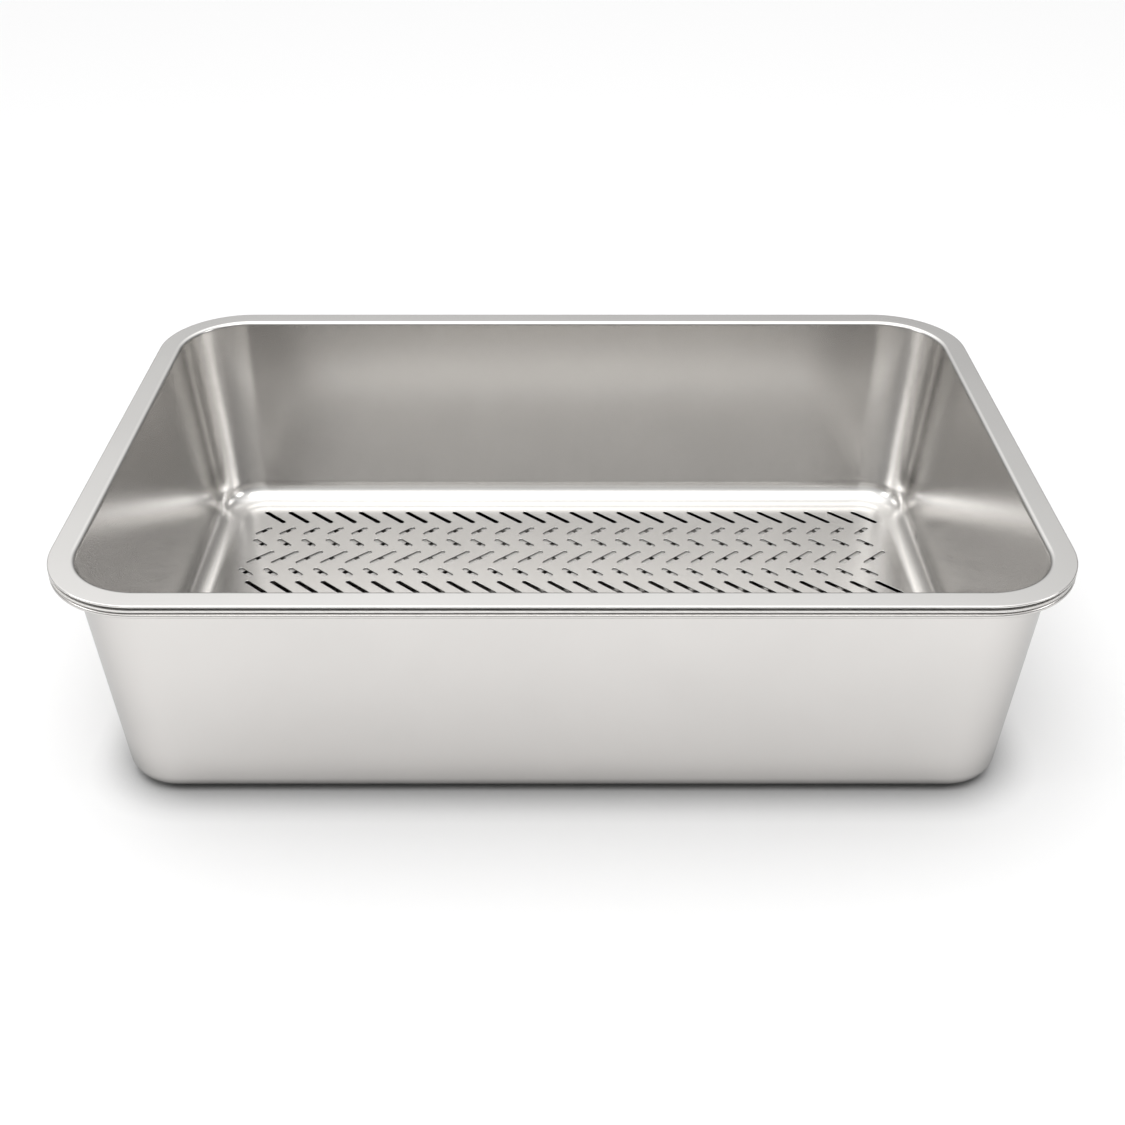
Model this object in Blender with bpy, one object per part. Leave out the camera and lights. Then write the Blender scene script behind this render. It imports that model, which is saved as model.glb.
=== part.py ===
"""Stainless steel cat litter box: a deep base pan with two slotted sifting trays nested in it.

Each of the three is one sheet, pressed and hemmed. A pan is drawn as the section of its sheet,
a list of (inset, height) points, and every point of the section becomes a rounded rectangle
that far inside the outline of the rim. All the corners of a pan share their centres, so the
sheet has the same thickness all round. +Z is up, +X runs along the box and the origin is on
the ground under its middle.
"""

import bpy
import bmesh
from math import cos, radians, sin, tan

# Outline that the three rims share, in metres
RIM_LENGTH = 0.600
RIM_WIDTH = 0.400
RIM_CORNER = 0.0605
CORNER_STEPS = 6

# Sheet, and the shape that the three pressings share
SHEET = 0.0007
TAPER = radians(4.7)
RIM_BEND = 0.002

# Rim edges: a flat hem on the trays, a fuller roll on the base pan
TRAY_HEM = (0.0016, 0.0030)  # thickness, width
BASE_HEM = (0.0029, 0.0035)

# How the pans nest
TOTAL_HEIGHT = 0.158
UPPER_RIM_PITCH = 0.0033
LOWER_RIM_PITCH = 0.0025
BASE_WALL_INSET = 0.0130
NEST_STEP = 0.00095

# Floors
BASE_FLOOR_RADIUS = 0.0115
TRAY_FLOOR_RADIUS = 0.0165
LOWER_FLOOR_TOP = 0.0084
UPPER_FLOOR_TOP = 0.0095

# Slots: a run of six rows, repeated from the back to the front
SLOT_WIDTH = 0.0038
LONG_SLOT = 0.0245
SHORT_SLOT = 0.0148
SLOT_ANGLE = radians(43)
SLOT_PITCH = 0.01885
SLOTS_IN_ROW = 26
ROWS = 15
ROW_GAP = 0.0061
FORWARD, BACKWARD = 1, -1

# Of each row its slots' length and lean, and its shift along X in pitches. The lower tray has the
# run the other way round, so its slots cross the upper tray's in all but the first and last rows.
UPPER_RUN = (
    (LONG_SLOT, BACKWARD, 0.3),
    (SHORT_SLOT, FORWARD, 0.0),
    (SHORT_SLOT, BACKWARD, 0.0),
    (LONG_SLOT, FORWARD, 0.2),
    (SHORT_SLOT, BACKWARD, -0.2),
    (LONG_SLOT, BACKWARD, 0.4),
)
LOWER_RUN = (
    (LONG_SLOT, BACKWARD, 0.3),
    (SHORT_SLOT, BACKWARD, 0.0),
    (LONG_SLOT, FORWARD, 0.0),
    (SHORT_SLOT, BACKWARD, 0.2),
    (SHORT_SLOT, FORWARD, -0.2),
    (LONG_SLOT, BACKWARD, 0.4),
)
UPPER_FIELD_BACK = 0.1485
LOWER_FIELD_BACK = 0.1503

STEEL_ROUGHNESS = 0.3


def clear_scene():
    for item in list(bpy.data.objects):
        bpy.data.objects.remove(item, do_unlink=True)


def steel(name, colour):
    """Satin stainless steel."""
    material = bpy.data.materials.new(name)
    material.use_nodes = True
    shader = material.node_tree.nodes["Principled BSDF"]
    shader.inputs["Base Color"].default_value = (*colour, 1.0)
    shader.inputs["Metallic"].default_value = 1.0
    shader.inputs["Roughness"].default_value = STEEL_ROUGHNESS
    return material


def arc(centre, radius, start, end, steps):
    """Points on an arc from angle start to angle end, in (inset, height)."""
    angles = [start + (end - start) * i / steps for i in range(steps + 1)]
    return [(centre[0] + radius * cos(a), centre[1] + radius * sin(a)) for a in angles]


def outline(inset):
    """Rounded rectangle this far inside the rim's outline, counter-clockwise from its +X side."""
    radius = RIM_CORNER - inset
    across = RIM_LENGTH / 2 - RIM_CORNER
    deep = RIM_WIDTH / 2 - RIM_CORNER
    points = []
    for quarter, (side, end) in enumerate(((1, 1), (-1, 1), (-1, -1), (1, -1))):
        start = radians(90 * quarter)
        points += arc((side * across, end * deep), radius, start, start + radians(90), CORNER_STEPS)
    return points


def hem_section(rim_top, thickness, width):
    """The rim's outer edge, folded under and closed, from its top round to its underside."""
    radius = thickness / 2
    nose = arc((radius, rim_top - radius), radius, radians(90), radians(270), 4)
    return nose + [(width, rim_top - thickness), (width + 0.0002, rim_top - SHEET)]


def pan_section(rim_top, hem, wall_inset, floor_top, floor_radius):
    """The sheet's section, from the floor's upper face over the rim to the floor's underside."""
    bend_centre = (wall_inset - RIM_BEND, rim_top - SHEET - RIM_BEND)
    bend_over = arc(bend_centre, RIM_BEND + SHEET, radians(90), TAPER, 3)
    bend_under = arc(bend_centre, RIM_BEND, radians(90), TAPER, 3)

    inner_inset, inner_top = bend_over[-1]
    fillet_height = floor_top + floor_radius
    fillet_inset = inner_inset + (inner_top - fillet_height) * tan(TAPER) + floor_radius / cos(TAPER)
    fillet_centre = (fillet_inset, fillet_height)
    wall_side, floor_side = radians(180) + TAPER, radians(270)
    fillet_over = arc(fillet_centre, floor_radius, wall_side, floor_side, 4)
    fillet_under = arc(fillet_centre, floor_radius + SHEET, wall_side, floor_side, 4)

    over = bend_over + fillet_over
    under = bend_under + fillet_under
    return over[::-1] + hem_section(rim_top, *hem) + under


def row_depth(length):
    """How far a leaning slot reaches from front to back."""
    return (length - SLOT_WIDTH) * sin(SLOT_ANGLE) + SLOT_WIDTH


def slot_corners(x, y, length, lean):
    """A slot's four corners, counter-clockwise."""
    along = (cos(SLOT_ANGLE) * length / 2, lean * sin(SLOT_ANGLE) * length / 2)
    across = (-lean * sin(SLOT_ANGLE) * SLOT_WIDTH / 2, cos(SLOT_ANGLE) * SLOT_WIDTH / 2)
    signs = ((-1, -1), (1, -1), (1, 1), (-1, 1))
    return [(x + i * along[0] + j * across[0], y + i * along[1] + j * across[1]) for i, j in signs]


def slots(run, back):
    """The field of slots, row by row towards the front, the first row's back edge at this Y."""
    found = []
    for row in range(ROWS):
        length, lean, shift = run[row % len(run)]
        y = back - row_depth(length) / 2
        back -= row_depth(length) + ROW_GAP
        for i in range(SLOTS_IN_ROW):
            x = SLOT_PITCH * (i - (SLOTS_IN_ROW - 1) / 2 + shift)
            found.append(slot_corners(x, y, length, lean))
    return found


def ring(mesh, points, height):
    return [mesh.verts.new((x, y, height)) for x, y in points]


def join_rings(mesh, first, second):
    for i in range(len(first)):
        j = (i + 1) % len(first)
        mesh.faces.new((first[i], first[j], second[j], second[i]))


def close_floor(mesh, edge_over, edge_under, holes):
    """Fills both faces of the floor inside its edge, round its slots, and lines the slots."""
    for edge, height in ((edge_over, edge_over[0].co.z), (edge_under, edge_under[0].co.z)):
        loops = [edge] + [ring(mesh, hole, height) for hole in holes]
        edges = []
        for loop in loops:
            for i, vert in enumerate(loop):
                after = loop[(i + 1) % len(loop)]
                edges.append(mesh.edges.get((vert, after)) or mesh.edges.new((vert, after)))
        bmesh.ops.triangle_fill(mesh, use_beauty=True, use_dissolve=False, edges=edges)
        if edge is edge_over:
            rims_over = loops[1:]
        else:
            for over, under in zip(rims_over, loops[1:]):
                join_rings(mesh, over, under)


def pressed_pan(name, material, section, holes=()):
    """One pan from its section, with slots where it has any."""
    mesh = bmesh.new()
    rings = [ring(mesh, outline(inset), height) for inset, height in section]
    for first, second in zip(rings, rings[1:]):
        join_rings(mesh, first, second)
    close_floor(mesh, rings[0], rings[-1], holes)
    bmesh.ops.recalc_face_normals(mesh, faces=mesh.faces)
    data = bpy.data.meshes.new(name)
    mesh.to_mesh(data)
    mesh.free()
    data.materials.append(material)
    data.shade_smooth()
    data.set_sharp_from_angle(angle=radians(35))
    pan = bpy.data.objects.new(name, data)
    bpy.context.collection.objects.link(pan)
    return pan


def base_pan():
    rim_top = TOTAL_HEIGHT - UPPER_RIM_PITCH - LOWER_RIM_PITCH
    section = pan_section(rim_top, BASE_HEM, BASE_WALL_INSET, SHEET, BASE_FLOOR_RADIUS)
    return pressed_pan("base_pan", steel("base_steel", (0.60, 0.58, 0.56)), section)


def sifting_tray(name, colour, rim_top, floor_top, rims_below, holes):
    """A tray whose rim lies on this many others."""
    wall_inset = BASE_WALL_INSET + rims_below * NEST_STEP
    section = pan_section(rim_top, TRAY_HEM, wall_inset, floor_top, TRAY_FLOOR_RADIUS)
    return pressed_pan(name, steel(name + "_steel", colour), section, holes)


clear_scene()
base = base_pan()
lower_rim = TOTAL_HEIGHT - UPPER_RIM_PITCH
lower_tray = sifting_tray(
    "lower_sifting_tray", (0.58, 0.56, 0.54), lower_rim, LOWER_FLOOR_TOP, 1, slots(LOWER_RUN, LOWER_FIELD_BACK)
)
upper_tray = sifting_tray(
    "upper_sifting_tray", (0.64, 0.62, 0.60), TOTAL_HEIGHT, UPPER_FLOOR_TOP, 2, slots(UPPER_RUN, UPPER_FIELD_BACK)
)
lower_tray.parent = base
upper_tray.parent = lower_tray
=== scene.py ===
"""Sifting litter box: three pressed stainless steel pans, nested rim on rim, on a pale studio floor.

Laid out as an add-on. Every pan is a closed sheet: the section of the sheet carried round the
rim's path, and a tray's floor is filled in round its slots.
"""

from math import cos, pi, radians, sin, tan

import bmesh
import bpy
import numpy as np
from bpy.props import FloatProperty, FloatVectorProperty, IntProperty, PointerProperty
from bpy.types import Operator, Panel, PropertyGroup
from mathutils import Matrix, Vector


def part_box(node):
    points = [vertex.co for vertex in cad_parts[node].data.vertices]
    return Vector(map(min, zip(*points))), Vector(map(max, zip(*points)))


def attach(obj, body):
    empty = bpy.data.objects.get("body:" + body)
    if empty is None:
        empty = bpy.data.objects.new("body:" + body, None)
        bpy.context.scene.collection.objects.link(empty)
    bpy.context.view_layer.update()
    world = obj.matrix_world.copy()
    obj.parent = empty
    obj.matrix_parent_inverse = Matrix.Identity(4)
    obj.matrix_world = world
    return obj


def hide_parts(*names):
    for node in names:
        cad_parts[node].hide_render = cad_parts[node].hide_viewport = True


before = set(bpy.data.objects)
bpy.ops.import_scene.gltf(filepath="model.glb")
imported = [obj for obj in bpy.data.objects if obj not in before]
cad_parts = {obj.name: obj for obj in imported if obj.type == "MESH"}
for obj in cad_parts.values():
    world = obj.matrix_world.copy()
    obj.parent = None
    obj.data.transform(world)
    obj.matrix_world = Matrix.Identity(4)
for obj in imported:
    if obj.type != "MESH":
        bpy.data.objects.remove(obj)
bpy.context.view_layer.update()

bl_info = {
    "name": "Sifting Litter Box",
    "version": (1, 0, 0),
    "blender": (4, 5, 0),
    "location": "3D View > Sidebar > Litter Box",
    "description": "Builds a stainless steel litter box: a base pan and two slotted sifting trays",
    "category": "Add Mesh",
}

RIM_TOP = {node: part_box(node)[1].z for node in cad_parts}
FLOOR_UNDERSIDE = {node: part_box(node)[0].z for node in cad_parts}
RIM_HALF_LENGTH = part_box("upper_sifting_tray")[1].x
RIM_HALF_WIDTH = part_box("upper_sifting_tray")[1].y


# ---------------------------------------------------------------- settings


class SheetSizes(PropertyGroup):
    """What the three pressings share."""

    sheet: FloatProperty(
        name="Sheet", description="Thickness of the steel", default=0.0007, unit="LENGTH", precision=4
    )
    taper: FloatProperty(
        name="Taper", description="Lean of the walls", default=radians(4.7), subtype="ANGLE",
    )
    rim_corner: FloatProperty(
        name="Rim corner", description="Radius of the rim's outer corners", default=0.0605,
        unit="LENGTH",
    )
    rim_bend: FloatProperty(
        name="Rim bend", description="Radius under the bend from rim to wall", default=0.002,
        unit="LENGTH",
    )
    hem_thickness: FloatProperty(
        name="Hem thickness", description="Height of a tray's folded edge", default=0.0016,
        unit="LENGTH", precision=4,
    )
    hem_width: FloatProperty(
        name="Hem width", description="How far a tray's edge is folded back", default=0.003,
        unit="LENGTH",
    )
    roll_thickness: FloatProperty(
        name="Roll thickness", description="Height of the base pan's rolled edge", default=0.0029,
        unit="LENGTH",
    )
    roll_width: FloatProperty(
        name="Roll width", description="How far the base pan's edge is rolled back", default=0.0035,
        unit="LENGTH",
    )
    corner_steps: IntProperty(
        name="Corner steps", description="Steps in a quarter turn of a wall", default=20, min=4
    )
    arc_steps: IntProperty(
        name="Arc steps", description="Steps in a bend of the section", default=8, min=3,
    )


class NestSizes(PropertyGroup):
    """How the pans fit in each other, and their floors."""

    base_wall_inset: FloatProperty(
        name="Base wall inset", description="From the rim's edge to the base pan's wall",
        default=0.013, unit="LENGTH",
    )
    nest_step: FloatProperty(
        name="Nest step", description="How much further in the next tray's wall is", default=0.00095,
        unit="LENGTH",
    )
    base_floor_radius: FloatProperty(
        name="Base floor radius", description="Inside, from wall to floor", default=0.0115,
        unit="LENGTH",
    )
    tray_floor_radius: FloatProperty(
        name="Tray floor radius", description="Inside, from wall to floor", default=0.0165,
        unit="LENGTH",
    )
    flat_keep: FloatProperty(
        name="Flat keep", description="Flat band between the floor's radius and its filling",
        default=0.0001,
        unit="LENGTH", precision=5,
    )


class SlotSizes(PropertyGroup):
    """The herringbone of slots."""

    width: FloatProperty(name="Width", description="Width of a slot", default=0.0038, unit="LENGTH")
    long: FloatProperty(name="Long slot", description="Overall length", default=0.0245, unit="LENGTH")
    short: FloatProperty(name="Short slot", description="Overall length", default=0.0148, unit="LENGTH")
    angle: FloatProperty(
        name="Angle", description="Lean of the slots", default=radians(43), subtype="ANGLE",
    )
    pitch: FloatProperty(
        name="Pitch", description="Spacing along a row", default=0.01885, unit="LENGTH", precision=5,
    )
    count: IntProperty(name="Slots in a row", description="Slots side by side", default=26, min=1)
    rows: IntProperty(name="Rows", description="Rows from the back to the front", default=15, min=1)
    row_gap: FloatProperty(
        name="Row gap", description="Plain metal between rows", default=0.0061, unit="LENGTH",
    )
    upper_back: FloatProperty(
        name="Upper field's back", description="Back edge of the upper tray's first row",
        default=0.1485, unit="LENGTH",
    )
    lower_back: FloatProperty(
        name="Lower field's back", description="Back edge of the lower tray's first row",
        default=0.1503, unit="LENGTH",
    )
    edge: FloatProperty(
        name="Edge", description="Burr rolled off the slot's edges", default=0.00018, unit="LENGTH",
        precision=5,
    )


class SteelFinish(PropertyGroup):
    """Satin stainless steel."""

    pan_colour: FloatVectorProperty(
        name="Pan colour", description="Steel of the base pan", subtype="COLOR",
        default=(0.755, 0.735, 0.715), min=0, max=1,
    )
    tray_colour: FloatVectorProperty(
        name="Tray colour", description="Steel of the trays", subtype="COLOR",
        default=(0.87, 0.855, 0.835), min=0, max=1,
    )
    # painted shade: how much of the pan's colour is taken off where its surface turns from the view
    pan_grazing_shade: FloatProperty(
        name="Pan edge", description="Colour lost at a grazing angle", default=0.72, min=0, max=1,
    )
    # painted shade, as above, for the trays
    tray_grazing_shade: FloatProperty(
        name="Tray edge", description="As above, for the trays", default=0.5, min=0, max=1,
    )
    # painted shade: how much darker the steel is over the slotted field
    field_shade: FloatProperty(
        name="Field dull", description="Colour lost where the slots are punched", default=0.17, min=0,
        max=1,
    )
    # painted shade on the slots' sheared walls, so the slots look dark
    slot_wall_shade: FloatProperty(
        name="Cut dark", description="Colour lost on the slots' sheared walls", default=0.85,
    )
    pan_roughness: FloatProperty(
        name="Pan roughness", description="Of the base pan", default=0.24, min=0, max=1,
    )
    tray_roughness: FloatProperty(
        name="Tray roughness", description="Of the upper tray", default=0.22, min=0, max=1,
    )
    dull_roughness: FloatProperty(
        name="Dull roughness", description="Of the lower tray, worn by the grains", default=0.6, min=0,
        max=1,
    )
    grain_depth: FloatProperty(
        name="Grain depth", description="Strength of the grain's relief", default=0.008,
    )


class StageSettings(PropertyGroup):
    """Floor, light and camera."""

    floor_colour: FloatVectorProperty(
        name="Floor", description="Colour of the floor", subtype="COLOR", default=(0.93, 0.93, 0.93),
        min=0, max=1,
    )
    # The floor's painted shadow round the box: how far out it reaches, and how much of the colour it leaves
    painted_shadow_reach: FloatProperty(
        name="Contact reach", description="How far out the floor is darker round the box",
        default=0.03, unit="LENGTH",
    )
    painted_shadow_dark: FloatProperty(
        name="Contact dark", description="Share of the floor's colour left there", default=0.3,
    )
    horizon: FloatProperty(
        name="Horizon", description="Brightness of the surroundings at the horizon", default=0.2,
    )
    overhead: FloatProperty(
        name="Overhead", description="Brightness added towards the zenith", default=1.45,
    )
    behind: FloatProperty(
        name="Behind", description="Brightness added halfway up behind the box", default=0.75,
    )
    key: FloatProperty(
        name="Key light", description="Power of the softbox above the front, in watts", default=5.0,
    )
    strips: FloatProperty(
        name="Side lights", description="Power of each softbox at the sides, in watts", default=2.5,
    )
    side: FloatProperty(
        name="Side", description="How much brighter the left is than the middle", default=0.35,
    )
    camera_back: FloatProperty(
        name="Camera distance", description="In front of the box's middle", default=0.86495,
        unit="LENGTH",
    )
    camera_above_rim: FloatProperty(
        name="Camera height", description="Above the rim", default=0.46112, unit="LENGTH"
    )
    camera_tilt: FloatProperty(
        name="Camera tilt", description="Below the horizon", default=radians(33.02), subtype="ANGLE"
    )
    lens: FloatProperty(name="Lens", description="Focal length in millimetres", default=46.92)


# ---------------------------------------------------------------- lines and sections

# A straight stretch has points this close to its ends, and this many steps between
SECTION_KEEP, SECTION_STEPS = 0.0006, 3
SIDE_KEEP, SIDE_STEPS = 0.004, 7


def arc(centre, radius, start, end, steps):
    """Points of an arc: centre plus radius times (cos, sin) of evenly spaced angles."""
    angle = np.linspace(start, end, steps + 1)
    return np.stack([centre[0] + radius * np.cos(angle), centre[1] + radius * np.sin(angle)], axis=1)


def between(first, last, keep=SECTION_KEEP, steps=SECTION_STEPS):
    """Points on the straight line between two points, the outer two a short distance from its ends."""
    first, last = np.asarray(first, float), np.asarray(last, float)
    share = min(keep / np.linalg.norm(last - first), 0.25)
    along = np.concatenate([[share], np.linspace(0, 1, steps + 2)[1:-1], [1 - share]])
    return first + along[:, None] * (last - first)


def hem_line(sheet, rim_top, thickness, width):
    """The folded edge, from the rim's top round to its underside: nose, return, cut end, back inside."""
    radius = thickness / 2
    centre = (radius, rim_top - radius)
    half = sheet.sheet / 2
    nose = arc(centre, radius, pi / 2, 3 * pi / 2, 2 * sheet.arc_steps)
    end_centre = (width - half, rim_top - thickness + half)
    cut_end = arc(end_centre, half, -pi / 2, pi / 2, sheet.arc_steps)
    inside = arc(centre, radius - sheet.sheet, 3 * pi / 2, pi / 2, sheet.arc_steps)
    return [nose, between(nose[-1], cut_end[0]), cut_end, inside]


def sheet_section(sheet, nest, rim_top, hem, wall_inset, floor_top, floor_radius):
    """The sheet's section, (inset, height) from the floor's upper face over the rim to its underside."""
    steps = sheet.arc_steps
    bend = (wall_inset - sheet.rim_bend, rim_top - sheet.sheet - sheet.rim_bend)
    bend_over = arc(bend, sheet.rim_bend + sheet.sheet, pi / 2, sheet.taper, steps)
    bend_under = arc(bend, sheet.rim_bend, pi / 2, sheet.taper, steps)
    height = floor_top + floor_radius
    wall_inset_top, wall_top = bend_over[-1]
    inset = wall_inset_top + (wall_top - height) * tan(sheet.taper) + floor_radius / cos(sheet.taper)
    turn = (pi + sheet.taper, 3 * pi / 2, 2 * steps)
    fillet_over = arc((inset, height), floor_radius, *turn)
    fillet_under = arc((inset, height), floor_radius + sheet.sheet, *turn)
    over = [bend_over, between(bend_over[-1], fillet_over[0]), fillet_over]
    under = [bend_under, between(bend_under[-1], fillet_under[0]), fillet_under]
    for side in (over, under):
        side.append(side[-1][-1:] + (nest.flat_keep, 0))
    hem = hem_line(sheet, rim_top, *hem)
    rim_over = between(over[0][0], hem[0][0])
    rim_under = between(hem[-1][-1], under[0][0])
    return np.concatenate([np.concatenate(over)[::-1], rim_over, *hem, rim_under, *under])


def rim_path(sheet):
    """The rim's path, anticlockwise: points through the corners' centres, and outward directions.

    In a corner the point stays and the direction turns. On a side the direction stays and the
    point moves.
    """
    across, deep = RIM_HALF_LENGTH - sheet.rim_corner, RIM_HALF_WIDTH - sheet.rim_corner
    corners = np.array([(across, deep), (-across, deep), (-across, -deep), (across, -deep)])
    points, directions = [], []
    for quarter in range(4):
        angle = pi / 2 * quarter + np.linspace(0, pi / 2, sheet.corner_steps + 1)
        turning = np.stack([np.cos(angle), np.sin(angle)], axis=1)
        side = between(corners[quarter], corners[(quarter + 1) % 4], SIDE_KEEP, SIDE_STEPS)
        points += [np.repeat(corners[quarter : quarter + 1], len(turning), axis=0), side]
        directions += [turning, np.repeat(turning[-1:], len(side), axis=0)]
    return np.concatenate(points), np.concatenate(directions)


# ---------------------------------------------------------------- slots

END_STEPS = 5  # steps in a quarter of a slot's round end

# Each row's length, lean and shift in pitches. The lower tray has the run the other way round, so
# its slots cross the upper tray's in all but the first and last rows of the run.
UPPER_RUN = (
    ("long", -1, 0.3), ("short", 1, 0.0), ("short", -1, 0.0),
    ("long", 1, 0.2), ("short", -1, -0.2), ("long", -1, 0.4),
)
LOWER_RUN = (
    ("long", -1, 0.3), ("short", -1, 0.0), ("long", 1, 0.0),
    ("short", -1, 0.2), ("short", 1, -0.2), ("long", -1, 0.4),
)


def slot_loop(length, width, angle):
    """A round-ended slot, anticlockwise: two half circles joined by straight sides."""
    reach, radius = (length - width) / 2, width / 2
    right = arc((reach, 0), radius, -pi / 2, pi / 2, 2 * END_STEPS)
    loop = np.concatenate([right, -right])
    turned = np.array([[cos(angle), sin(angle)], [-sin(angle), cos(angle)]])
    return loop @ turned


def slot_loops(slots, run, back, grown):
    """Every slot's loop, an array of (slots, points, 2), each grown all round by this much.

    Rows follow each other towards the front, and in a row the slots stand one pitch apart.
    """
    loops = []
    place = (np.arange(slots.count) - (slots.count - 1) / 2) * slots.pitch
    for row in range(slots.rows):
        size, lean, shift = run[row % len(run)]
        length = getattr(slots, size)
        depth = (length - slots.width) * sin(slots.angle) + slots.width
        centre = np.stack([place + shift * slots.pitch, np.full(slots.count, back - depth / 2)], axis=1)
        loop = slot_loop(length + 2 * grown, slots.width + 2 * grown, lean * slots.angle)
        loops.append(centre[:, None] + loop)
        back -= depth + slots.row_gap
    return np.concatenate(loops)


def ring_quads(first, second):
    """Quads between two closed loops of as many points each, given as arrays of indices (..., points)."""
    return np.stack([first, np.roll(first, -1, -1), np.roll(second, -1, -1), second], axis=-1).reshape(-1, 4)


# ---------------------------------------------------------------- meshes

SMOOTH_BELOW = radians(40)


def fill_floor(data):
    """Fills what is still open: the upper face of the floor, and its underside."""
    mesh = bmesh.new()
    mesh.from_mesh(data)
    open_edges = [edge for edge in mesh.edges if edge.is_boundary]
    middle = (max(e.verts[0].co.z for e in open_edges) + min(e.verts[0].co.z for e in open_edges)) / 2
    for over in (True, False):
        edges = [edge for edge in open_edges if (edge.verts[0].co.z > middle) == over]
        bmesh.ops.triangle_fill(mesh, use_beauty=True, use_dissolve=False, edges=edges, normal=(0, 0, 1))
    bmesh.ops.recalc_face_normals(mesh, faces=mesh.faces)
    if any(edge.is_boundary for edge in mesh.edges):
        raise RuntimeError(data.name + " isn't closed")
    mesh.to_mesh(data)
    mesh.free()


def pan_mesh(name, section, path, holes=None, edge=0.0):
    """The section carried round the path, and the floor's two faces.

    A point of the wall is centre + (corner radius - inset) * direction.

    Holes are the slots' loops (grown by the rolled edge, true size). A slot's wall goes down from its
    grown loop on the face to its true loop this edge lower, then straight, and out again below.
    """
    centres, directions = path
    corner = RIM_HALF_LENGTH - centres[:, 0].max()
    flat = centres[:, None] + (corner - section[None, :, :1]) * directions[:, None]
    count, rings = flat.shape[:2]
    wall = np.concatenate([flat, np.broadcast_to(section[None, :, 1:], (count, rings, 1))], axis=2)
    loops = np.arange(count * rings).reshape(count, rings).T
    points, faces = [wall.reshape(-1, 3)], [ring_quads(loops[1:], loops[:-1])]
    if holes is not None:
        top, low = section[0, 1], section[-1, 1]
        grown, true = holes
        layers = [(grown, top), (true, top - edge), (true, low + edge), (grown, low)]
        index = count * rings + np.arange(4 * grown[..., 0].size).reshape(4, *grown.shape[:2])
        for loop, height in layers:
            points.append(np.column_stack([loop.reshape(-1, 2), np.full(loop[..., 0].size, height)]))
        faces.append(ring_quads(index[:-1], index[1:]))
    data = bpy.data.meshes.new(name)
    data.from_pydata(np.concatenate(points).tolist(), [], np.concatenate(faces).tolist())
    fill_floor(data)
    data.shade_smooth()
    data.set_sharp_from_angle(angle=SMOOTH_BELOW)
    return data


def add_object(name, data, material):
    old = bpy.data.objects.get(name)
    if old is not None:
        bpy.data.objects.remove(old, do_unlink=True)
    piece = bpy.data.objects.new(name, data)
    bpy.context.scene.collection.objects.link(piece)
    data.materials.append(material)
    return piece


# ---------------------------------------------------------------- shader helpers


def maths(tree, operation, first, second):
    """A maths node on two sockets or numbers; gives its output socket."""
    node = tree.nodes.new("ShaderNodeMath")
    node.operation = operation
    for socket, value in zip(node.inputs, (first, second)):
        if isinstance(value, bpy.types.NodeSocket):
            tree.links.new(value, socket)
        else:
            socket.default_value = value
    return node.outputs[0]


def map_range(tree, value, span, result, interpolation="LINEAR"):
    """Takes a value from one span to another and holds it at the ends; gives the output socket."""
    node = tree.nodes.new("ShaderNodeMapRange")
    node.interpolation_type = interpolation
    node.inputs["From Min"].default_value, node.inputs["From Max"].default_value = span
    node.inputs["To Min"].default_value, node.inputs["To Max"].default_value = result
    tree.links.new(value, node.inputs["Value"])
    return node.outputs["Result"]


def noise(tree, vector, scale, detail):
    """A noise texture on these coordinates; gives the socket of its value, from 0 to 1."""
    node = tree.nodes.new("ShaderNodeTexNoise")
    node.inputs["Scale"].default_value = scale
    node.inputs["Detail"].default_value = detail
    tree.links.new(vector, node.inputs["Vector"])
    return node.outputs["Fac"]


def tinted(tree, factor, colour):
    """Black where the factor is 0, this colour where it is 1; gives the output socket."""
    mix = tree.nodes.new("ShaderNodeMix")
    mix.data_type = "RGBA"
    mix.inputs["A"].default_value = (0.0, 0.0, 0.0, 1.0)
    mix.inputs["B"].default_value = (*colour, 1.0)
    tree.links.new(factor, mix.inputs["Factor"])
    return mix.outputs["Result"]


def start_group(name, inputs, outputs):
    """A node group with these sockets, numbers except for Vector; gives it and its two end nodes."""
    group = bpy.data.node_groups.new(name, "ShaderNodeTree")
    for direction, labels in (("INPUT", inputs), ("OUTPUT", outputs)):
        for label in labels:
            kind = "NodeSocketVector" if label == "Vector" else "NodeSocketFloat"
            group.interface.new_socket(label, in_out=direction, socket_type=kind)
    return group, group.nodes.new("NodeGroupInput"), group.nodes.new("NodeGroupOutput")


# ---------------------------------------------------------------- steel

STREAK_SCALE = (40.0, 900.0, 900.0)  # to the metre: long along X, fine across it
PATCH_SCALE = 14.0
STREAK_DETAIL, PATCH_DETAIL = 3.0, 2.0
NOISE_SPAN = (0.3, 0.7)  # where nearly all of the noise lies
PATCH_TONE = (0.97, 1.0)  # share of the colour left in the darkest and the lightest patches
GRAIN_VARIATION = 0.03  # how much the grain changes the roughness
GRAIN_RELIEF = 0.0001
GRAZING_SHADE_POWER = 1.76  # how late the painted shade sets in as the surface turns away from the view
FIELD_MARGIN = (0.002, 0.001)  # of the field's painted shade beyond its slots, along X and Y
FIELD_FADE = (-0.004, 0.003)  # from where to where, across the field's border, it fades


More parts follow.
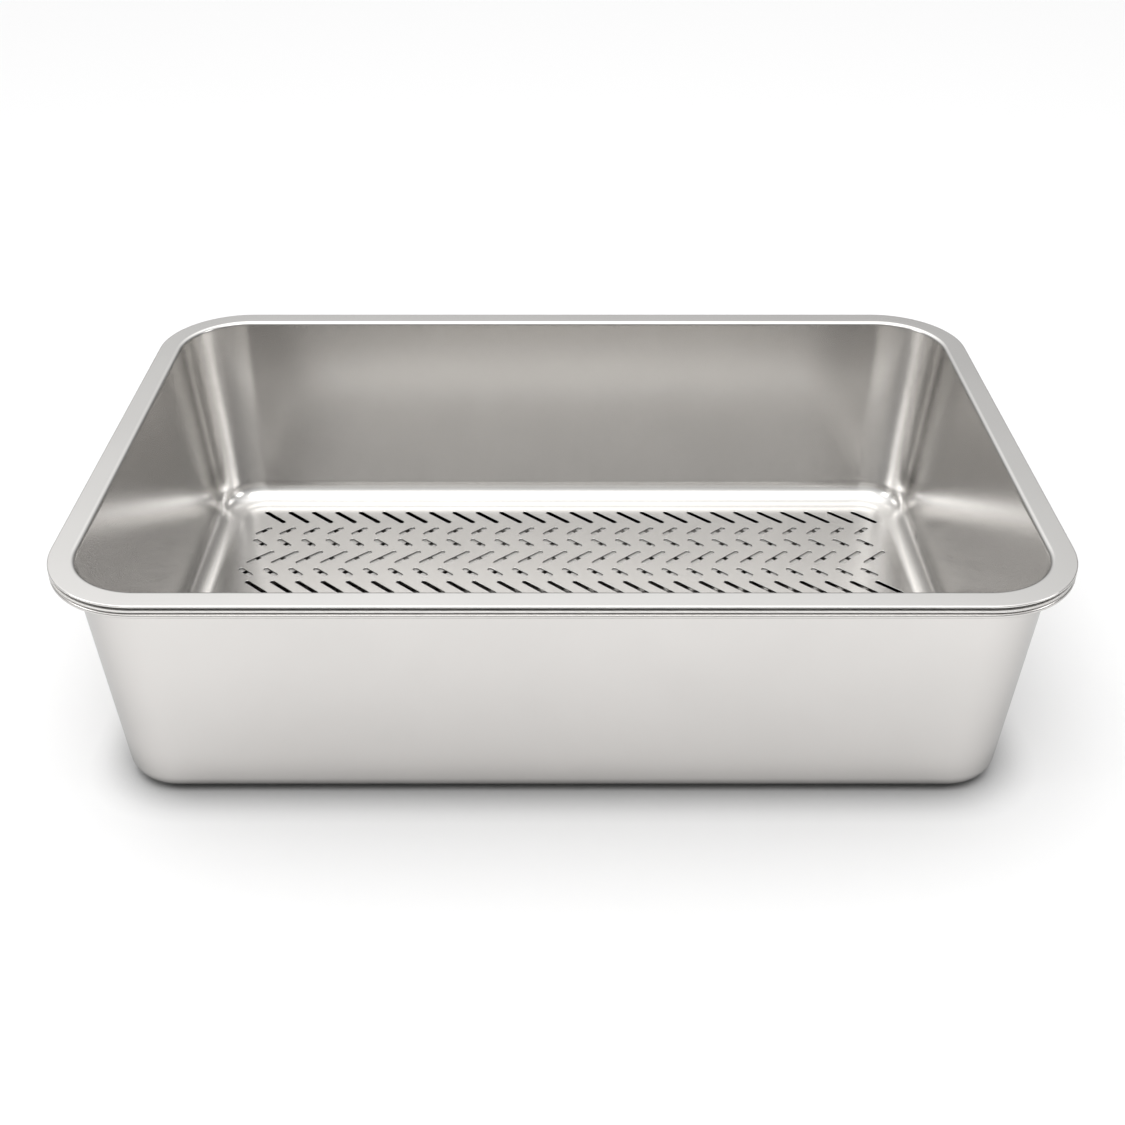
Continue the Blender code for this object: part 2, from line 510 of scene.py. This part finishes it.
def satin_grain_group():
    """Fine grain of satin steel: streaks stretched along X, and soft patches.

    Roughness out is Roughness + Variation * (streaks + patches - 1). Tone follows the patches.

    Inputs: Vector, Roughness, Variation. Outputs: Roughness, Height, Tone.
    """
    name = "satin_grain"
    if name in bpy.data.node_groups:
        return bpy.data.node_groups[name]
    group, given, result = start_group(
        name, ("Vector", "Roughness", "Variation"), ("Roughness", "Height", "Tone")
    )
    stretch = group.nodes.new("ShaderNodeMapping")
    stretch.inputs["Scale"].default_value = STREAK_SCALE
    group.links.new(given.outputs["Vector"], stretch.inputs["Vector"])
    streaks = noise(group, stretch.outputs["Vector"], 1.0, STREAK_DETAIL)
    patches = noise(group, given.outputs["Vector"], PATCH_SCALE, PATCH_DETAIL)
    spread = maths(group, "SUBTRACT", maths(group, "ADD", streaks, patches), 1.0)
    varied = maths(group, "MULTIPLY", spread, given.outputs["Variation"])
    group.links.new(maths(group, "ADD", varied, given.outputs["Roughness"]), result.inputs["Roughness"])
    group.links.new(streaks, result.inputs["Height"])
    group.links.new(map_range(group, patches, NOISE_SPAN, PATCH_TONE), result.inputs["Tone"])
    return group


def grazing_shade_group():
    """How much colour is left where the surface turns away, under a painted shade: 1 - Grazing shade * Facing
    ^ GRAZING_SHADE_POWER.

    Inputs: Facing, Loss. Outputs: Tone.
    """
    name = "edge_tone"
    if name in bpy.data.node_groups:
        return bpy.data.node_groups[name]
    group, given, result = start_group(name, ("Facing", "Grazing shade"), ("Tone",))
    turned = maths(group, "POWER", given.outputs["Facing"], GRAZING_SHADE_POWER)
    lost = maths(group, "MULTIPLY", turned, given.outputs["Grazing shade"])
    group.links.new(maths(group, "SUBTRACT", 1.0, lost), result.inputs["Tone"])
    return group


def punched_field_group():
    """Masks for painted shade: the rectangle of the slots with a soft border, and the upright cut walls
    inside it.

    Inputs: Vector, Half length, Half width. Outputs: Mask, Cut.
    """
    name = "punched_field"
    if name in bpy.data.node_groups:
        return bpy.data.node_groups[name]
    group, given, result = start_group(name, ("Vector", "Half length", "Half width"), ("Mask", "Cut"))
    place = group.nodes.new("ShaderNodeSeparateXYZ")
    group.links.new(given.outputs["Vector"], place.inputs[0])
    beyond = [
        maths(group, "SUBTRACT", maths(group, "ABSOLUTE", place.outputs[axis], 0.0), given.outputs[label])
        for axis, label in (("X", "Half length"), ("Y", "Half width"))
    ]
    mask = map_range(group, maths(group, "MAXIMUM", *beyond), FIELD_FADE, (1.0, 0.0), "SMOOTHSTEP")
    group.links.new(mask, result.inputs["Mask"])
    # The upright walls inside the field, the slots' cut walls, which get the darker painted shade
    facing = group.nodes.new("ShaderNodeSeparateXYZ")
    group.links.new(group.nodes.new("ShaderNodeNewGeometry").outputs["True Normal"], facing.inputs[0])
    upright = maths(group, "SUBTRACT", 1.0, maths(group, "ABSOLUTE", facing.outputs["Z"], 0.0))
    group.links.new(maths(group, "MULTIPLY", upright, mask), result.inputs["Cut"])
    return group


def steel_material(name, finish, colour, edge, roughness, field=None):
    """Satin stainless steel, with painted shade towards its edges, over the slotted field and on the slots'
    cut walls.
    """
    material = bpy.data.materials.get(name) or bpy.data.materials.new(name)
    material.use_nodes = True
    tree = material.node_tree
    nodes, links = tree.nodes, tree.links
    nodes.clear()
    output = nodes.new("ShaderNodeOutputMaterial")
    shader = nodes.new("ShaderNodeBsdfPrincipled")
    shader.inputs["Metallic"].default_value = 1.0
    links.new(shader.outputs["BSDF"], output.inputs["Surface"])
    place = nodes.new("ShaderNodeTexCoord")
    grain = nodes.new("ShaderNodeGroup")
    grain.node_tree = satin_grain_group()
    grain.inputs["Roughness"].default_value = roughness
    grain.inputs["Variation"].default_value = GRAIN_VARIATION
    links.new(place.outputs["Object"], grain.inputs["Vector"])
    links.new(grain.outputs["Roughness"], shader.inputs["Roughness"])
    # Painted shade: the colour darkens by the edge amount as the surface turns away from the view
    facing = nodes.new("ShaderNodeLayerWeight")
    turned = nodes.new("ShaderNodeGroup")
    turned.node_tree = grazing_shade_group()
    turned.inputs["Grazing shade"].default_value = edge
    links.new(facing.outputs["Facing"], turned.inputs["Facing"])
    # The grain's random tone times the painted grazing shade
    tone_and_painted_shade = maths(tree, "MULTIPLY", grain.outputs["Tone"], turned.outputs["Tone"])
    if field is not None:
        mask = nodes.new("ShaderNodeGroup")
        mask.node_tree = punched_field_group()
        mask.inputs["Half length"].default_value, mask.inputs["Half width"].default_value = field
        links.new(place.outputs["Object"], mask.inputs["Vector"])
        # Painted shade over the slotted field, darker still on the slots' cut walls
        lost = maths(tree, "MULTIPLY", mask.outputs["Mask"], finish.field_shade)
        # The slots' cut walls take the darker painted shade
        lost = maths(tree, "MAXIMUM", lost, maths(tree, "MULTIPLY", mask.outputs["Cut"], finish.slot_wall_shade))
        tone_and_painted_shade = maths(tree, "MULTIPLY", tone_and_painted_shade, maths(tree, "SUBTRACT", 1.0, lost))
    links.new(tinted(tree, tone_and_painted_shade, colour), shader.inputs["Base Color"])
    bump = nodes.new("ShaderNodeBump")
    bump.inputs["Strength"].default_value = finish.grain_depth
    bump.inputs["Distance"].default_value = GRAIN_RELIEF
    links.new(grain.outputs["Height"], bump.inputs["Height"])
    links.new(bump.outputs["Normal"], shader.inputs["Normal"])
    return material


# ---------------------------------------------------------------- operators


def build_tray(context, node, body, nested, run, back, roughness):
    """One sifting tray with this many pans under it."""
    sheet, nest, slots = context.scene.litter_sheet, context.scene.litter_nest, context.scene.litter_slots
    section = sheet_section(
        sheet, nest, RIM_TOP[node], (sheet.hem_thickness, sheet.hem_width),
        nest.base_wall_inset + nested * nest.nest_step,
        FLOOR_UNDERSIDE[node] + sheet.sheet, nest.tray_floor_radius,
    )
    holes = [slot_loops(slots, run, back, grown) for grown in (slots.edge, 0.0)]
    data = pan_mesh(node + "_steel", section, rim_path(sheet), holes, slots.edge)
    finish = context.scene.litter_steel
    field = (np.abs(holes[1][..., 0]).max() + FIELD_MARGIN[0], slots.upper_back + FIELD_MARGIN[1])
    steel = steel_material(node + "_steel", finish, finish.tray_colour, finish.tray_grazing_shade, roughness, field)
    piece = add_object(node + "_steel", data, steel)
    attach(piece, body)
    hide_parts(node)
    return piece


class LITTER_OT_base_pan(Operator):
    """Builds the deep base pan"""

    bl_idname = "litter.base_pan"
    bl_label = "Base Pan"

    def execute(self, context):
        sheet, nest = context.scene.litter_sheet, context.scene.litter_nest
        section = sheet_section(
            sheet, nest, RIM_TOP["base_pan"], (sheet.roll_thickness, sheet.roll_width), nest.base_wall_inset,
            FLOOR_UNDERSIDE["base_pan"] + sheet.sheet, nest.base_floor_radius,
        )
        data = pan_mesh("base_pan_steel", section, rim_path(sheet))
        finish = context.scene.litter_steel
        steel = steel_material(
            "base_pan_steel", finish, finish.pan_colour, finish.pan_grazing_shade, finish.pan_roughness
        )
        piece = add_object("base_pan_steel", data, steel)
        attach(piece, "base")
        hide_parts("base_pan")
        return {"FINISHED"}


class LITTER_OT_sifting_trays(Operator):
    """Builds the two slotted sifting trays"""

    bl_idname = "litter.sifting_trays"
    bl_label = "Sifting Trays"

    def execute(self, context):
        slots, finish = context.scene.litter_slots, context.scene.litter_steel
        build_tray(
            context, "lower_sifting_tray", "lower_tray", 1, LOWER_RUN, slots.lower_back, finish.dull_roughness
        )
        build_tray(
            context, "upper_sifting_tray", "upper_tray", 2, UPPER_RUN, slots.upper_back, finish.tray_roughness
        )
        return {"FINISHED"}


class LITTER_OT_stage(Operator):
    """Builds the floor, the light and the camera"""

    bl_idname = "litter.stage"
    bl_label = "Stage"

    def execute(self, context):
        stage = context.scene.litter_stage
        build_floor(stage)
        build_light(context, stage)
        build_camera(context, stage)
        return {"FINISHED"}


FLOOR_HALF_SIDE = 8.0
FLOOR_LEVEL = -0.0003
FLOOR_ROUGHNESS = 0.9
FLOOR_SHEEN = 0.1
# Painted shadow on the floor round the box, found by an ambient occlusion test
PAINTED_SHADOW_SAMPLES = 8
PAINTED_SHADOW_SPAN = (0.25, 0.95)  # how open the floor is where its painted shadow is darkest, and where the floor is left unshaded

# Size, place and turn of the softbox above the front and of the right one, which the left one mirrors
KEY_SIZE, KEY_PLACE, KEY_TURN = (1.6, 0.8), (0.0, -0.75, 1.6), (radians(25), 0.0, 0.0)
SIDE_SIZE, SIDE_PLACE, SIDE_TURN = (0.5, 0.5), (1.5, -0.35, 0.95), (radians(12), radians(58), 0.0)

SENSOR_WIDTH = 36.0  # millimetres


def build_floor(stage):
    """A plain pale square far larger than the view, with a painted shadow that darkens it where the box is
    near.
    """
    corners = np.array([(-1, -1, 0), (1, -1, 0), (1, 1, 0), (-1, 1, 0)]) * FLOOR_HALF_SIDE
    data = bpy.data.meshes.new("studio_floor")
    data.from_pydata((corners + (0, 0, FLOOR_LEVEL)).tolist(), [], [(0, 1, 2, 3)])
    material = bpy.data.materials.new("studio_floor")
    material.use_nodes = True
    tree = material.node_tree
    shader = tree.nodes["Principled BSDF"]
    # Painted shadow: the floor's colour darkens where the box is close
    near = tree.nodes.new("ShaderNodeAmbientOcclusion")
    near.inputs["Distance"].default_value = stage.painted_shadow_reach
    near.samples = PAINTED_SHADOW_SAMPLES
    shade = map_range(tree, near.outputs["AO"], PAINTED_SHADOW_SPAN, (stage.painted_shadow_dark, 1.0))
    tree.links.new(tinted(tree, shade, stage.floor_colour), shader.inputs["Base Color"])
    shader.inputs["Roughness"].default_value = FLOOR_ROUGHNESS
    shader.inputs["Specular IOR Level"].default_value = FLOOR_SHEEN
    add_object("studio_floor", data, material)


def add_softbox(context, name, size, power, place, turn):
    """A rectangular area light."""
    light = bpy.data.lights.new(name, "AREA")
    light.shape = "RECTANGLE"
    light.size, light.size_y = size
    light.energy = power
    lamp = bpy.data.objects.new(name, light)
    lamp.location, lamp.rotation_euler = place, turn
    context.scene.collection.objects.link(lamp)


def build_light(context, stage):
    """White surroundings, and softboxes above and at the sides.

    Brightness is (horizon + overhead * up^2 + behind * up * back) * (1 - side * right).
    """
    world = bpy.data.worlds.new("studio")
    context.scene.world = world
    world.use_nodes = True
    tree = world.node_tree
    background = tree.nodes["Background"]
    background.inputs["Color"].default_value = (1.0, 1.0, 1.0, 1.0)
    direction = tree.nodes.new("ShaderNodeSeparateXYZ")
    tree.links.new(tree.nodes.new("ShaderNodeTexCoord").outputs["Generated"], direction.inputs[0])
    up = maths(tree, "MAXIMUM", direction.outputs["Z"], 0.0)
    back = maths(tree, "MAXIMUM", direction.outputs["Y"], 0.0)
    overhead = maths(tree, "MULTIPLY", maths(tree, "MULTIPLY", up, up), stage.overhead)
    behind = maths(tree, "MULTIPLY", maths(tree, "MULTIPLY", up, back), stage.behind)
    bright = maths(tree, "ADD", maths(tree, "ADD", overhead, behind), stage.horizon)
    lean = maths(tree, "SUBTRACT", 1.0, maths(tree, "MULTIPLY", direction.outputs["X"], stage.side))
    tree.links.new(maths(tree, "MULTIPLY", bright, lean), background.inputs["Strength"])
    add_softbox(context, "key_softbox", KEY_SIZE, stage.key, KEY_PLACE, KEY_TURN)
    for name, way in (("left_softbox", -1), ("right_softbox", 1)):
        place = (way * SIDE_PLACE[0], SIDE_PLACE[1], SIDE_PLACE[2])
        turn = (SIDE_TURN[0], way * SIDE_TURN[1], SIDE_TURN[2])
        add_softbox(context, name, SIDE_SIZE, stage.strips, place, turn)


def build_camera(context, stage):
    camera = bpy.data.cameras.new("camera")
    camera.sensor_width = SENSOR_WIDTH
    camera.lens = stage.lens
    holder = bpy.data.objects.new("camera", camera)
    holder.location = (0.0, -stage.camera_back, RIM_TOP["upper_sifting_tray"] + stage.camera_above_rim)
    holder.rotation_euler = (pi / 2 - stage.camera_tilt, 0.0, 0.0)
    context.scene.collection.objects.link(holder)
    context.scene.camera = holder
    context.scene.view_settings.view_transform = "Standard"


class LITTER_PT_panel(Panel):
    """Lists the operators and the sizes"""

    bl_idname = "LITTER_PT_panel"
    bl_label = "Litter Box"
    bl_space_type = "VIEW_3D"
    bl_region_type = "UI"
    bl_category = "Litter Box"

    def draw(self, context):
        for operator in OPERATORS:
            self.layout.operator(operator.bl_idname)
        for label in SETTINGS:
            box = self.layout.box()
            group = getattr(context.scene, label)
            for key in group.__annotations__:
                box.prop(group, key)


SETTINGS = {
    "litter_sheet": SheetSizes,
    "litter_nest": NestSizes,
    "litter_slots": SlotSizes,
    "litter_steel": SteelFinish,
    "litter_stage": StageSettings,
}
OPERATORS = (LITTER_OT_base_pan, LITTER_OT_sifting_trays, LITTER_OT_stage)


def register():
    for item in (*SETTINGS.values(), *OPERATORS, LITTER_PT_panel):
        bpy.utils.register_class(item)
    for label, group in SETTINGS.items():
        setattr(bpy.types.Scene, label, PointerProperty(type=group))


def unregister():
    for label in SETTINGS:
        delattr(bpy.types.Scene, label)
    for item in (LITTER_PT_panel, *OPERATORS, *reversed(SETTINGS.values())):
        bpy.utils.unregister_class(item)


def main():
    register()
    bpy.ops.litter.stage()
    bpy.ops.litter.base_pan()
    bpy.ops.litter.sifting_trays()


if __name__ == "__main__":
    main()
